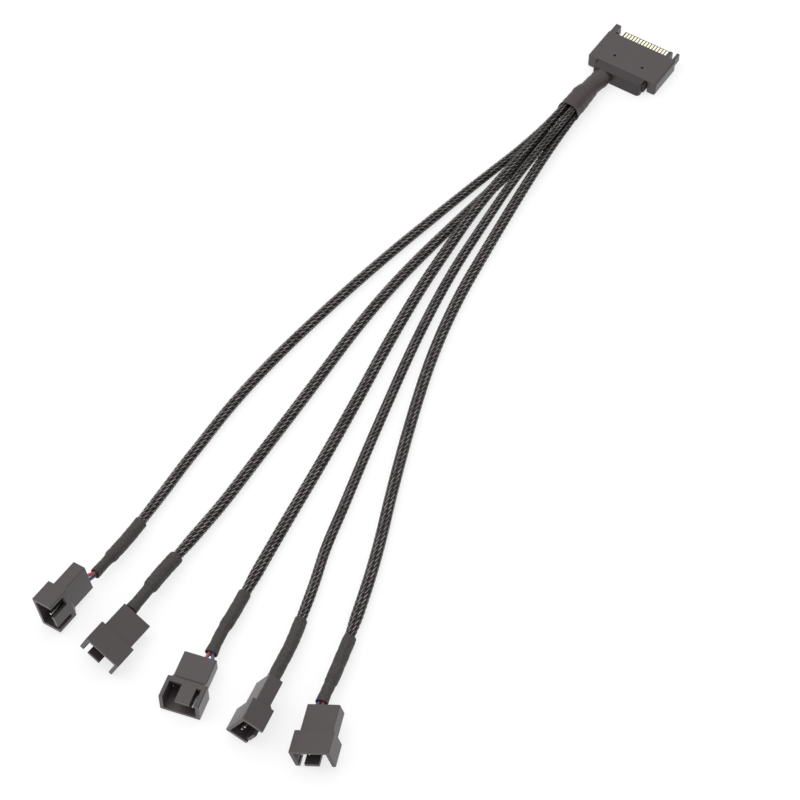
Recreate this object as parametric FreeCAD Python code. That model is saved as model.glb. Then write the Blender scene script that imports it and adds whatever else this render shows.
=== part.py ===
import FreeCAD, Part
import math
import os

V = FreeCAD.Vector

# Fan splitter cable: one drive power plug feeds five sleeved leads, and each lead ends in a fan header.
# Millimetres. The plug lies at the origin with its mating side to +Y, and the leads run to -Y on the floor z = 0.

# A cutting block reaches past the face that it opens by this much
OVER = 1.0

# Power plug
PLUG_WIDTH = 29.8
PLUG_THICK = 5.6
PLUG_FRONT = 7.4
WING_REAR = -8.3
PLUG_ROUND = 0.9
COVER_HALF_WIDTH = 10.1
COVER_REAR = -12.45
COVER_ROUND = 1.5
COVER_CORNER_AT_TRUNK = 0.4
COVER_EDGE = 0.12
NOTCH_WIDTH, NOTCH_DEPTH, NOTCH_ROOF = 1.2, 1.5, 0.9
EAR_THICK, EAR_ROOT = 0.9, 1.0
EAR_LENGTH, EAR_IN_NOTCH = 2.0, 0.75
EAR_LOW, EAR_TOP = 1.1, 4.4
TENON_WIDTH, TENON_DEPTH, TENON_HEIGHT = 17.0, 2.5, 3.0
DIMPLE_X, DIMPLE_Y, DIMPLE_DIAMETER, DIMPLE_DEPTH = 6.0, -3.2, 1.1, 1.0

# Tongue with its contacts, and the two guide posts beside it
TONGUE_WIDTH = 19.8
TONGUE_TIP = 12.5
TONGUE_LOW, TONGUE_TOP = 2.2, 3.4
TONGUE_NOSE = 0.35
KEY_LEG = 1.1
KEY_LOW, KEY_TOP, KEY_TIP = 1.0, 3.8, 12.1
CONTACTS = 15
CONTACT_PITCH = 1.27
CONTACT_WIDTH = 0.84
CONTACT_TIP = 11.85
CONTACT_THICK, CONTACT_SUNK = 0.2, 0.14
WIDE_POST = (-14.2, -12.0, 12.65, 1.5, PLUG_THICK)
SLIM_POST = (13.0, 14.1, 12.05, 1.4, 4.8)
WIDE_POST_NOSE, SLIM_POST_NOSE = 0.6, 0.4
POST_ROOT = 1.0
POST_RIB = (-12.0, -11.3, 9.6, 1.8, 4.2)

# Leads: a sleeve over two wires
SLEEVE_DIAMETER = 3.2
WIRE_DIAMETER = 1.2
WIRE_HALF_GAP = 0.62

# Trunk shrink over the five sleeves
TRUNK_WALL = 0.2
TRUNK_MOUTH = -37.8
TRUNK_PLUG_RADIUS, TRUNK_PLUG_TOP = 3.9, 5.4
WAIST_Y, WAIST_RADIUS = -21.5, 3.5
SLEEVE_START = -28.0
BUNDLE_X = -6.1
BUNDLE_RING = 2.75
FIRST_KNEE = -50.0
BORE_RADIUS = BUNDLE_RING + SLEEVE_DIAMETER / 2
TRUNK_RADIUS = BORE_RADIUS + TRUNK_WALL
FLOOR_GAP = 0.05
BUNDLE_Z = TRUNK_RADIUS + FLOOR_GAP

# Stepped shrink boot at the end of each lead: round over the sleeve, pressed flat over the wires
BOOT_LENGTH = 25.5
BOOT_RADIUS = 2.15
BOOT_LIP = 0.3
BOOT_TAPER = 2.4
NECK_RADIUS, NECK_HALF_THICK = 2.0, 1.5
NECK_BORE_RADIUS, NECK_BORE_HALF = 1.65, 0.95

# Fan header, in its own axes: +Y out of the mouth, +X to the side of pin one, +Z through the plain wide wall
BODY_WIDTH, BODY_THICK, BODY_LENGTH = 11.0, 5.0, 10.5
SHROUD_WIDTH = 13.5
HEADER_LENGTH = 18.5
PLAIN_STEP, SLOTTED_STEP, RAMP = 1.3, 1.5, 1.4
SIDE_WALL, WIDE_WALL = 1.3, 1.1
SOCKET_FLOOR = 10.3
SLOT_LENGTH = 6.2
WIDE_SLOT = (-5.45, -1.3)
NARROW_SLOT = (3.6, 5.2)
WAYS = 4
PIN_PITCH = 2.54
CHANNEL, CHANNEL_END = 1.9, 8.4
PIN_SIDE, PIN_TIP, PIN_NOSE = 0.64, 16.9, 0.16
CRIMP_FROM, CRIMP_TO, CRIMP_SIDE, CRIMP_FOLD = 0.8, 6.2, 1.6, 0.35
MOULD_EDGE = 0.25
PINS_FITTED = (1.5 * PIN_PITCH, 0.5 * PIN_PITCH)
ENTRY_RUN = 0.3
MITRE = 1

# Cord routes on the floor, chosen by eye: the knees between the trunk and each boot, then the boot's far end.
# At each knee an arc takes this share of the shorter run beside it.
ARC_SHARE = 0.45
REST = SLEEVE_DIAMETER / 2 + FLOOR_GAP
ROUTES = [
    [(-18.1, -92.0, 2.0), (-28.0, -150.0, REST), (-33.5, -211.0, REST), (-29.6, -256.0, REST),
     (-27.8, -299.2, 5.0)],
    [(-12.4, -98.0, REST), (-16.7, -150.0, REST), (-13.1, -206.0, REST), (-10.8, -257.0, REST),
     (-9.2, -304.2, 6.1)],
    [(-10.2, -102.0, 3.6), (-5.1, -152.0, REST), (5.1, -207.0, REST), (13.2, -262.0, REST),
     (21.1, -302.4, 4.2)],
    [(-5.9, -92.0, 2.3), (1.6, -148.0, REST), (16.0, -205.0, REST), (26.4, -242.0, REST), (35.1, -269.0, REST),
     (43.3, -300.2, 5.3)],
    [(1.0, -96.0, REST), (8.0, -147.0, REST), (27.0, -202.0, REST), (49.6, -256.0, REST),
     (60.6, -297.2, 4.4)],
]
LEADS = len(ROUTES)
# Where each lead leaves the trunk, as turns of the ring that the five sleeves form
RING_ANGLES = [198.0, 270.0, 126.0, 54.0, 342.0]
# Each header's rear centre on the floor plan, its heading from -Y, its nose lift and its roll, in degrees
HEADERS = [(-29.3, -302.85, -2.0, -1.5, 260.0), (-6.6, -305.45, -0.5, 4.5, 24.0), (19.6, -305.75, 14.5, 0.0, 180.0),
           (44.0, -302.45, 10.0, 0.0, -61.0), (63.2, -299.35, 21.0, 2.0, -17.0)]
# Length of sleeve inside each boot
BOOT_STEPS = [17.1, 14.4, 13.7, 7.9, 17.7]


def block(x0, x1, y0, y1, z0, z1):
    """A box between two corners."""
    return Part.makeBox(x1 - x0, y1 - y0, z1 - z0, V(x0, y0, z0))


def edges_along(shape, axis, keep=lambda point: True):
    """Straight edges parallel to an axis, if their middle passes the test."""
    found = []
    for edge in shape.Edges:
        along = edge.valueAt(edge.LastParameter) - edge.valueAt(edge.FirstParameter)
        if abs(abs(along.normalize().dot(axis)) - 1) < 1e-6 and keep(edge.CenterOfMass):
            found.append(edge)
    return found


def cord_path(points):
    """Straight runs joined by arcs that touch both, with the arc radii."""
    edges, radii = [], []
    start = points[0]
    for before, knee, after in zip(points, points[1:], points[2:]):
        run_in, run_out = knee - before, after - knee
        setback = ARC_SHARE * min(run_in.Length, run_out.Length)
        turn = run_in.getAngle(run_out)
        radius = setback / math.tan(turn / 2)
        a = knee - V(run_in).normalize() * setback
        b = knee + V(run_out).normalize() * setback
        inward = (V(run_out).normalize() - V(run_in).normalize()).normalize()
        middle = knee + inward * (radius / math.cos(turn / 2) - radius)
        edges.append(Part.LineSegment(start, a).toShape())
        edges.append(Part.Arc(a, middle, b).toShape())
        radii.append(radius)
        start = b
    edges.append(Part.LineSegment(start, points[-1]).toShape())
    return Part.Wire(edges), radii


def tube(name, points, diameter):
    """A round cord along a path, with its bends and its volume told."""
    path, radii = cord_path(points)
    ring = Part.Wire(Part.makeCircle(diameter / 2, points[0], points[1] - points[0]))
    solid = path.makePipeShell([ring], True, False)
    expected = math.pi * diameter ** 2 / 4 * path.Length
    print(f"{name}: length {path.Length:.1f}, smallest radius {min(radii):.1f}, "
          f"volume {solid.Volume / expected:.4f} of section x length")
    return solid


def plug_housing():
    half = PLUG_WIDTH / 2
    body = block(-half, half, WING_REAR, PLUG_FRONT, 0, PLUG_THICK)
    rounded = edges_along(body, V(0, 1, 0)) + edges_along(body, V(0, 0, 1))
    body = body.makeFillet(PLUG_ROUND, rounded)
    for side in (-1, 1):
        inner = side * COVER_HALF_WIDTH
        outer = inner + side * NOTCH_WIDTH
        body = body.cut(block(min(inner, outer), max(inner, outer), WING_REAR - OVER, WING_REAR + NOTCH_DEPTH,
                              -OVER, PLUG_THICK - NOTCH_ROOF))
    body = body.cut(tenon())
    for (x0, x1, tip, low, top), taper in ((WIDE_POST, WIDE_POST_NOSE), (SLIM_POST, SLIM_POST_NOSE)):
        post = block(x0, x1, PLUG_FRONT - POST_ROOT, tip, low, top)
        nose = [e for e in post.Edges if abs(e.CenterOfMass.y - tip) < 1e-6]
        body = body.fuse(post.makeChamfer(taper, nose))
    x0, x1, tip, low, top = POST_RIB
    body = body.fuse(block(x0, x1, PLUG_FRONT - POST_ROOT, tip, low, top))
    body = body.fuse(tongue())
    for side in (-1, 1):
        body = body.cut(Part.makeCylinder(DIMPLE_DIAMETER / 2, DIMPLE_DEPTH + OVER,
                                          V(side * DIMPLE_X, DIMPLE_Y, PLUG_THICK - DIMPLE_DEPTH)))
    return body.removeSplitter()


def tongue():
    """The flat blade that carries the contacts, with a key leg at one end and a seat for each contact."""
    half = TONGUE_WIDTH / 2
    blade = block(-half, half, PLUG_FRONT - POST_ROOT, TONGUE_TIP, TONGUE_LOW, TONGUE_TOP)
    nose = edges_along(blade, V(1, 0, 0), lambda p: abs(p.y - TONGUE_TIP) < 1e-6)
    blade = blade.makeChamfer(TONGUE_NOSE, nose)
    blade = blade.fuse(block(half, half + KEY_LEG, PLUG_FRONT - POST_ROOT, KEY_TIP, KEY_LOW, KEY_TOP))
    for seat in contact_strips():
        blade = blade.cut(seat)
    return blade


def contact_strips():
    strips = []
    for i in range(CONTACTS):
        x = (i - (CONTACTS - 1) / 2) * CONTACT_PITCH
        low = TONGUE_TOP - CONTACT_SUNK
        strips.append(block(x - CONTACT_WIDTH / 2, x + CONTACT_WIDTH / 2, PLUG_FRONT, CONTACT_TIP,
                            low, low + CONTACT_THICK))
    return strips


def tenon():
    """The part of the rear cover that sits inside the housing."""
    middle = PLUG_THICK / 2
    return block(-TENON_WIDTH / 2, TENON_WIDTH / 2, WING_REAR, WING_REAR + TENON_DEPTH,
                 middle - TENON_HEIGHT / 2, middle + TENON_HEIGHT / 2)


def plug_rear_cover():
    cover = block(-COVER_HALF_WIDTH, COVER_HALF_WIDTH, COVER_REAR, WING_REAR, 0, PLUG_THICK)
    far_corner = edges_along(cover, V(0, 0, 1), lambda p: p.x > 0 and p.y < WING_REAR - OVER)
    cover = cover.makeFillet(COVER_ROUND, far_corner)
    near_corner = edges_along(cover, V(0, 0, 1), lambda p: p.x < 0 and p.y < WING_REAR - OVER)
    cover = cover.makeFillet(COVER_CORNER_AT_TRUNK, near_corner)
    seam = edges_along(cover, V(1, 0, 0), lambda p: p.z > PLUG_THICK / 2)
    cover = cover.makeChamfer(COVER_EDGE, seam)
    cover = cover.fuse(tenon())
    inside = block(-COVER_HALF_WIDTH, COVER_HALF_WIDTH, WING_REAR, PLUG_FRONT, 0, PLUG_THICK)
    for side in (-1, 1):
        inner = side * (COVER_HALF_WIDTH - EAR_ROOT)
        outer = side * (COVER_HALF_WIDTH + EAR_THICK)
        ear = block(min(inner, outer), max(inner, outer), WING_REAR - EAR_LENGTH, WING_REAR + EAR_IN_NOTCH,
                    EAR_LOW, EAR_TOP)
        cover = cover.fuse(ear.cut(inside))
    return cover.removeSplitter()


def ring_seat(lead, y):
    """Centre of a sleeve in the trunk's bundle."""
    angle = math.radians(RING_ANGLES[lead])
    return V(BUNDLE_X + BUNDLE_RING * math.cos(angle), y, BUNDLE_Z + BUNDLE_RING * math.sin(angle))


def trunk_shrink():
    """A shrink tube: filled and pressed flat at the plug, drawn in to a waist, then open over the sleeves."""
    along = V(0, -1, 0)
    plug_end, waist, shoulder = (V(BUNDLE_X, y, BUNDLE_Z) for y in (COVER_REAR, WAIST_Y, SLEEVE_START))
    drawn_in = Part.makeCone(TRUNK_PLUG_RADIUS, WAIST_RADIUS, COVER_REAR - WAIST_Y, plug_end, along)
    waist_top = BUNDLE_Z + WAIST_RADIUS
    pressed = [(COVER_REAR, TRUNK_PLUG_TOP), (WAIST_Y, waist_top), (COVER_REAR, waist_top + OVER)]
    corners = [V(BUNDLE_X - TRUNK_RADIUS, y, z) for y, z in pressed]
    wedge = Part.Face(Part.makePolygon(corners + corners[:1])).extrude(V(2 * TRUNK_RADIUS, 0, 0))
    widening = Part.makeCone(WAIST_RADIUS, TRUNK_RADIUS, WAIST_Y - SLEEVE_START, waist, along)
    reach = SLEEVE_START - TRUNK_MOUTH
    open_end = Part.makeCylinder(TRUNK_RADIUS, reach, shoulder, along)
    bore = Part.makeCylinder(BORE_RADIUS, reach, shoulder, along)
    return drawn_in.cut(wedge).fuse([widening, open_end.cut(bore)])


def header_turn(lead):
    heading, lift, roll = HEADERS[lead][2:]
    return (FreeCAD.Rotation(V(0, 0, 1), 180 + heading) * FreeCAD.Rotation(V(1, 0, 0), lift)
            * FreeCAD.Rotation(V(0, 1, 0), -roll))


def header_place(lead):
    """The header's place: turned as it lies, with its lowest corner on the floor."""
    x, y = HEADERS[lead][:2]
    lying = header_housing()
    lying.Placement = FreeCAD.Placement(V(x, y, 0), header_turn(lead))
    return FreeCAD.Placement(V(x, y, -lying.BoundBox.ZMin), header_turn(lead))


def header_housing():
    """A body with four channels behind a wider shroud, whose keyed wall has two slots."""
    half_body, half_shroud, half_thick = BODY_WIDTH / 2, SHROUD_WIDTH / 2, BODY_THICK / 2
    low, top = -half_thick - SLOTTED_STEP, half_thick + PLAIN_STEP
    outline = [(0, -half_thick), (BODY_LENGTH - RAMP, -half_thick), (BODY_LENGTH, low), (HEADER_LENGTH, low),
               (HEADER_LENGTH, top), (BODY_LENGTH, top), (BODY_LENGTH, half_thick), (0, half_thick)]
    corners = [V(-half_body, y, z) for y, z in outline]
    profile = Part.Face(Part.makePolygon(corners + corners[:1]))
    body = profile.extrude(V(BODY_WIDTH, 0, 0))
    long_edges = edges_along(body, V(0, 1, 0), lambda p: p.y < BODY_LENGTH)
    body = body.makeChamfer(MOULD_EDGE, long_edges)
    shroud = block(-half_shroud, half_shroud, BODY_LENGTH, HEADER_LENGTH, low, top)
    shroud = shroud.makeChamfer(MOULD_EDGE, edges_along(shroud, V(0, 1, 0)))
    housing = body.common(block(-half_body, half_body, 0, BODY_LENGTH, low, top)).fuse(shroud)
    housing = housing.cut(block(-half_shroud + SIDE_WALL, half_shroud - SIDE_WALL, SOCKET_FLOOR, HEADER_LENGTH + OVER,
                                low + WIDE_WALL, top - WIDE_WALL))
    for x0, x1 in (WIDE_SLOT, NARROW_SLOT):
        housing = housing.cut(block(x0, x1, HEADER_LENGTH - SLOT_LENGTH, HEADER_LENGTH + OVER, low - OVER, 0))
    for way in range(WAYS):
        x = (way - (WAYS - 1) / 2) * PIN_PITCH
        housing = housing.cut(block(x - CHANNEL / 2, x + CHANNEL / 2, -OVER, CHANNEL_END, -CHANNEL / 2, CHANNEL / 2))
        housing = housing.cut(block(x - PIN_SIDE / 2, x + PIN_SIDE / 2, 0, SOCKET_FLOOR + OVER,
                                    -PIN_SIDE / 2, PIN_SIDE / 2))
    return housing.removeSplitter()


def header_terminals():
    """Two square pins, each drawn out of the folded crimp that grips its wire."""
    terminals = []
    half_pin, half_crimp = PIN_SIDE / 2, CRIMP_SIDE / 2
    for x in PINS_FITTED:
        crimp = block(x - half_crimp, x + half_crimp, CRIMP_FROM, CRIMP_TO, -half_crimp, half_crimp)
        crimp = crimp.makeChamfer(CRIMP_FOLD, edges_along(crimp, V(0, 1, 0)))
        pin = block(x - half_pin, x + half_pin, CRIMP_TO, PIN_TIP, -half_pin, half_pin)
        tip = [e for e in pin.Edges if abs(e.CenterOfMass.y - PIN_TIP) < 1e-6]
        terminals.append(crimp.fuse(pin.makeChamfer(PIN_NOSE, tip)).removeSplitter())
    return Part.makeCompound(terminals)


def lead_end(lead):
    """The boot's axis, which is the last run of the route, and the places along it."""
    knee, boot_end = (V(*p) for p in ROUTES[lead][-2:])
    along = (boot_end - knee).normalize()
    boot_start = boot_end - along * BOOT_LENGTH
    side = header_turn(lead).multVec(V(1, 0, 0))
    across = (side - along * side.dot(along)).normalize()
    return {"along": along, "across": across, "boot_start": boot_start, "boot_end": boot_end,
            "sleeve_end": boot_start + along * BOOT_STEPS[lead]}


def lead_points(lead):
    """The sleeve's route: straight in the trunk, over the floor, then straight into the boot."""
    return ([ring_seat(lead, SLEEVE_START), ring_seat(lead, FIRST_KNEE)] + [V(*p) for p in ROUTES[lead][:-1]]
            + [lead_end(lead)["sleeve_end"]])


def lead_shrink(lead):
    """A boot of shrink tube, turned about its axis, then flattened and slotted where only the wires are left."""
    end = lead_end(lead)
    step = BOOT_STEPS[lead]
    neck = step + BOOT_TAPER
    outline = [(0, 0), (BOOT_RADIUS - BOOT_LIP, 0), (BOOT_RADIUS, BOOT_LIP), (BOOT_RADIUS, step),
               (NECK_RADIUS, neck), (NECK_RADIUS, BOOT_LENGTH), (0, BOOT_LENGTH)]
    corners = [V(r, y, 0) for r, y in outline]
    boot = Part.Face(Part.makePolygon(corners + corners[:1])).revolve(V(0, 0, 0), V(0, 1, 0), 360)
    for side in (-1, 1):
        ramp = [(step, BOOT_RADIUS), (neck, NECK_HALF_THICK), (BOOT_LENGTH, NECK_HALF_THICK),
                (BOOT_LENGTH, BOOT_RADIUS)]
        corners = [V(-BOOT_RADIUS, y, side * z) for y, z in ramp]
        boot = boot.cut(Part.Face(Part.makePolygon(corners + corners[:1])).extrude(V(2 * BOOT_RADIUS, 0, 0)))
    boot = boot.cut(Part.makeCylinder(SLEEVE_DIAMETER / 2, step, V(0, 0, 0), V(0, 1, 0)))
    slot = Part.makeCylinder(NECK_BORE_RADIUS, BOOT_LENGTH - step, V(0, step, 0), V(0, 1, 0))
    slot = slot.common(block(-NECK_BORE_RADIUS, NECK_BORE_RADIUS, step, BOOT_LENGTH, -NECK_BORE_HALF, NECK_BORE_HALF))
    boot = boot.cut(slot)
    turn = FreeCAD.Rotation(end["across"], end["along"], end["across"].cross(end["along"]), "YXZ")
    boot.Placement = FreeCAD.Placement(end["boot_start"], turn)
    return boot


def lead_wire(lead, number):
    """One wire from the sleeve's end, straight through the boot, then bare to its crimp, with mitred corners."""
    end, place = lead_end(lead), header_place(lead)
    apart = end["across"] * (WIRE_HALF_GAP if number == 0 else -WIRE_HALF_GAP)
    pin = PINS_FITTED[number]
    points = [end["sleeve_end"] + apart, end["boot_end"] + apart, place.multVec(V(pin, -ENTRY_RUN, 0)),
              place.multVec(V(pin, CRIMP_FROM, 0))]
    shell = Part.BRepOffsetAPI.MakePipeShell(Part.makePolygon(points))
    shell.setTransitionMode(MITRE)
    shell.add(Part.Wire(Part.makeCircle(WIRE_DIAMETER / 2, points[0], end["along"])))
    shell.build()
    shell.makeSolid()
    return shell.shape()


def build():
    nodes = {
        "plug_housing": plug_housing(),
        "plug_rear_cover": plug_rear_cover(),
        "plug_contacts": Part.makeCompound(contact_strips()),
        "trunk_shrink": trunk_shrink(),
    }
    for lead in range(LEADS):
        n = lead + 1
        housing, terminals = header_housing(), header_terminals()
        housing.Placement = header_place(lead)
        terminals.Placement = header_place(lead)
        nodes[f"lead_{n}_sleeve"] = tube(f"lead_{n}_sleeve", lead_points(lead), SLEEVE_DIAMETER)
        nodes[f"lead_{n}_shrink"] = lead_shrink(lead)
        nodes[f"lead_{n}_blue_wire"] = lead_wire(lead, 0)
        nodes[f"lead_{n}_red_wire"] = lead_wire(lead, 1)
        nodes[f"fan_header_{n}"] = housing
        nodes[f"fan_pins_{n}"] = terminals
    return nodes


os.makedirs("parts", exist_ok=True)
for name, shape in build().items():
    shape.exportStep(f"parts/{name}.step")
    print(f"{name}: {len(shape.Solids)} solid, valid {shape.isValid()}, volume {shape.Volume:.1f}")
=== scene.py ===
# %% [markdown]
# A fan splitter cable feeds five fans from one drive power plug. Five braided leads leave a short trunk
# behind the plug, and each of them ends in a small four-way fan header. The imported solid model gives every
# piece its place and size, so it is loaded first as a fixed frame, and the steps below dress it.

# %% Load the frame
import math

import bmesh
import bpy
import numpy as np
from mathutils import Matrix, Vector


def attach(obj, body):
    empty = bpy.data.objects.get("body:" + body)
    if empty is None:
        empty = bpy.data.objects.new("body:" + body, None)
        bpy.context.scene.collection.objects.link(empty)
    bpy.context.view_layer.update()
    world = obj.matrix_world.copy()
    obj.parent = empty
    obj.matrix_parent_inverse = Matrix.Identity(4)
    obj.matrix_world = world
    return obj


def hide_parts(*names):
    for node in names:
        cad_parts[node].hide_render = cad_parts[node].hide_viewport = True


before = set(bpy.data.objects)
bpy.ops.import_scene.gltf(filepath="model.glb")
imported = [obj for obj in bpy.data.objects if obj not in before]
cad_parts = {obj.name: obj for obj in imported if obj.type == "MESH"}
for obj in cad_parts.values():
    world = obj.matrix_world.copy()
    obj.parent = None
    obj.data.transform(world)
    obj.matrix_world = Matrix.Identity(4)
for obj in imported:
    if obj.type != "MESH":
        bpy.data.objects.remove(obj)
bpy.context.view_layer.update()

MM = 0.001

# %% [markdown]
# The cable lies on a white table, and the picture looks down on it from the front right. A long lens far
# away keeps the plug and the fan headers at nearly the same scale, as in a catalogue picture. The camera is
# placed by its angle and distance from a point on the table, which is easier to adjust than a raw position.

# %% Camera
CAMERA_AZIMUTH = math.radians(33.4)
CAMERA_ELEVATION = math.radians(53.0)
CAMERA_DISTANCE = 829.7 * MM
CAMERA_TARGET = Vector((13.9, -182.75, 0.0)) * MM
CAMERA_VIEW_ANGLE = math.radians(18.85)
SENSOR_WIDTH = 36.0


def add_camera():
    """The camera sits at its target plus its distance times a unit vector from azimuth and elevation."""
    level = math.cos(CAMERA_ELEVATION)
    back = Vector((math.sin(CAMERA_AZIMUTH) * level, -math.cos(CAMERA_AZIMUTH) * level,
                   math.sin(CAMERA_ELEVATION)))
    data = bpy.data.cameras.new("table_camera")
    data.sensor_width = SENSOR_WIDTH
    data.lens = SENSOR_WIDTH / 2 / math.tan(CAMERA_VIEW_ANGLE / 2)
    camera = bpy.data.objects.new("table_camera", data)
    camera.location = CAMERA_TARGET + back * CAMERA_DISTANCE
    camera.rotation_mode = "QUATERNION"
    camera.rotation_quaternion = (-back).to_track_quat("-Z", "Y")
    bpy.context.collection.objects.link(camera)
    bpy.context.scene.camera = camera
    return camera


print("lens, mm:", round(add_camera().data.lens, 1))

# %% [markdown]
# The studio is a large white table in a round white tent. Lamps on a bare table would do too, but they leave
# hard sparks on dark plastic, and the white all round gives broad, calm reflections. The table glows a little
# to the camera, so it looks white and its shadows stay faint, while it throws only a grey light back up.

# %% Table
TABLE_HALF = 6.0
TABLE_DROP = 0.18 * MM
TABLE_ROUGHNESS, TABLE_GLOSS = 0.9, 0.1
TABLE_SEEN, TABLE_BOUNCE = 0.96, 0.30
TABLE_GLOW, TABLE_IN_MIRROR = 0.72, 1.4
OFF_TO_ON = (0.0, 1.0)


def map_range(nodes, source, target):
    """A node that carries values from one range to another in proportion, and stops at the ends."""
    node = nodes.new("ShaderNodeMapRange")
    for socket, value in zip(("From Min", "From Max", "To Min", "To Max"), (*source, *target)):
        node.inputs[socket].default_value = value
    return node


def table_material():
    """A mix of a dull white surface and a glow. The glow's share is camera ray times TABLE_GLOW plus glossy ray,
    so the camera sees a part of it, mirror-like faces see all of it, and other light meets the surface alone."""
    material = bpy.data.materials.new("white_table")
    material.use_nodes = True
    nodes, links = material.node_tree.nodes, material.node_tree.links
    surface = nodes["Principled BSDF"]
    surface.inputs["Roughness"].default_value = TABLE_ROUGHNESS
    surface.inputs["Specular IOR Level"].default_value = TABLE_GLOSS
    ray = nodes.new("ShaderNodeLightPath")
    white = map_range(nodes, OFF_TO_ON, (TABLE_BOUNCE, TABLE_SEEN))
    glow = nodes.new("ShaderNodeEmission")
    strength = map_range(nodes, OFF_TO_ON, (1.0, TABLE_IN_MIRROR))
    share = nodes.new("ShaderNodeMath")
    share.operation = "MULTIPLY_ADD"
    share.inputs[1].default_value = TABLE_GLOW
    mix = nodes.new("ShaderNodeMixShader")
    links.new(ray.outputs["Is Camera Ray"], white.inputs["Value"])
    links.new(white.outputs["Result"], surface.inputs["Base Color"])
    links.new(ray.outputs["Is Glossy Ray"], strength.inputs["Value"])
    links.new(strength.outputs["Result"], glow.inputs["Strength"])
    links.new(ray.outputs["Is Camera Ray"], share.inputs[0])
    links.new(ray.outputs["Is Glossy Ray"], share.inputs[2])
    links.new(share.outputs["Value"], mix.inputs["Fac"])
    links.new(surface.outputs["BSDF"], mix.inputs[1])
    links.new(glow.outputs["Emission"], mix.inputs[2])
    links.new(mix.outputs["Shader"], nodes["Material Output"].inputs["Surface"])
    return material


def add_table():
    """A square with its corners at plus and minus the half side, a hair below the solid model."""
    h, z = TABLE_HALF, -TABLE_DROP
    mesh = bpy.data.meshes.new("table_top")
    mesh.from_pydata([(-h, -h, z), (h, -h, z), (h, h, z), (-h, h, z)], [], [(0, 1, 2, 3)])
    mesh.materials.append(table_material())
    top = bpy.data.objects.new("table_top", mesh)
    bpy.context.collection.objects.link(top)


add_table()
print("table, m:", 2 * TABLE_HALF)

# %% [markdown]
# The tent is bright behind the cable on the left and dim opposite. The flat tops and the gold contacts mirror
# the bright part, upright faces mirror the table, and undersides stay dark. One wide soft lamp over the headers
# adds a faint shadow on the table.

# %% Tent and lamp
TENT_DIM, TENT_BRIGHT = 0.22, 1.25
TENT_TOWARDS = (-0.45, 0.35, 0.82)
LAMP_POWER = 3.4
LAMP_PLACE = Vector((-0.22, -0.36, 1.05))
LAMP_SIZE = 1.2


def add_tent():
    """Brightness runs from dim to bright with the cosine of the angle to the tent's bright side."""
    world = bpy.data.worlds.new("white_tent")
    world.use_nodes = True
    nodes, links = world.node_tree.nodes, world.node_tree.links
    cloth = nodes["Background"]
    cloth.inputs["Color"].default_value = (1, 1, 1, 1)
    place = nodes.new("ShaderNodeTexCoord")
    facing = nodes.new("ShaderNodeVectorMath")
    facing.operation = "DOT_PRODUCT"
    facing.inputs[1].default_value = TENT_TOWARDS
    bright = map_range(nodes, (-1.0, 1.0), (TENT_DIM, TENT_BRIGHT))
    links.new(place.outputs["Generated"], facing.inputs[0])
    links.new(facing.outputs["Value"], bright.inputs["Value"])
    links.new(bright.outputs["Result"], cloth.inputs["Strength"])
    bpy.context.scene.world = world


def add_lamp():
    """A round soft lamp that faces the camera's target."""
    lamp = bpy.data.lights.new("soft_lamp", "AREA")
    lamp.energy = LAMP_POWER
    lamp.shape = "DISK"
    lamp.size = LAMP_SIZE
    holder = bpy.data.objects.new("soft_lamp", lamp)
    holder.location = LAMP_PLACE
    holder.rotation_mode = "QUATERNION"
    holder.rotation_quaternion = (CAMERA_TARGET - LAMP_PLACE).to_track_quat("-Z", "Y")
    bpy.context.collection.objects.link(holder)


add_tent()
add_lamp()
bpy.context.scene.view_settings.view_transform = "Standard"
print("lamp power, W:", LAMP_POWER)

# %% [markdown]
# The connectors are moulded in dark grey plastic with a fine spark-eroded grain, and shrink tube has a softer,
# waxier skin. Both need the same effect at different strengths: a fine noise that roughens the gloss and lifts
# the surface a little. Each material could have its own noise, but one node group makes it once, and every
# material that uses it sets its own scale and depth.

# %% Surface grain, shared by the plastics
GRAIN_INPUTS = {"Scale": 2500.0, "Base": 0.45, "Spread": 0.1}
GRAIN_DETAIL = 3.0


def grain_group():
    """Roughness is a base value plus noise times a spread; Height is the same noise, for bump and mottle."""
    group = bpy.data.node_groups.new("surface_grain", "ShaderNodeTree")
    for name, value in GRAIN_INPUTS.items():
        socket = group.interface.new_socket(name, in_out="INPUT", socket_type="NodeSocketFloat")
        socket.default_value = value
    for name in ("Roughness", "Height"):
        group.interface.new_socket(name, in_out="OUTPUT", socket_type="NodeSocketFloat")
    nodes, links = group.nodes, group.links
    inside, outside = nodes.new("NodeGroupInput"), nodes.new("NodeGroupOutput")
    place = nodes.new("ShaderNodeTexCoord")
    noise = nodes.new("ShaderNodeTexNoise")
    noise.inputs["Detail"].default_value = GRAIN_DETAIL
    spread = nodes.new("ShaderNodeMath")
    spread.operation = "MULTIPLY_ADD"
    links.new(place.outputs["Object"], noise.inputs["Vector"])
    links.new(inside.outputs["Scale"], noise.inputs["Scale"])
    links.new(noise.outputs["Fac"], spread.inputs[0])
    links.new(inside.outputs["Spread"], spread.inputs[1])
    links.new(inside.outputs["Base"], spread.inputs[2])
    links.new(spread.outputs["Value"], outside.inputs["Roughness"])
    links.new(noise.outputs["Fac"], outside.inputs["Height"])
    return group


SURFACE_GRAIN = grain_group()
print("nodes in the grain group:", len(SURFACE_GRAIN.nodes))

# %% [markdown]
# Wires and plated metal are one colour all over, so their values are set straight on the shader. The plastics
# add the grain to such a plain material. On shrink tube the grain also mottles the colour, because heat and
# handling leave its skin uneven.

# %% Plain and grained finishes
PLASTIC_IOR = 1.5
GRAIN_DEPTH = 0.05 * MM
MOTTLE_GRAIN = (0.35, 0.65)
MIX_FACTOR, MIX_LOW, MIX_HIGH, MIX_RESULT = 0, 6, 7, 2


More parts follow.
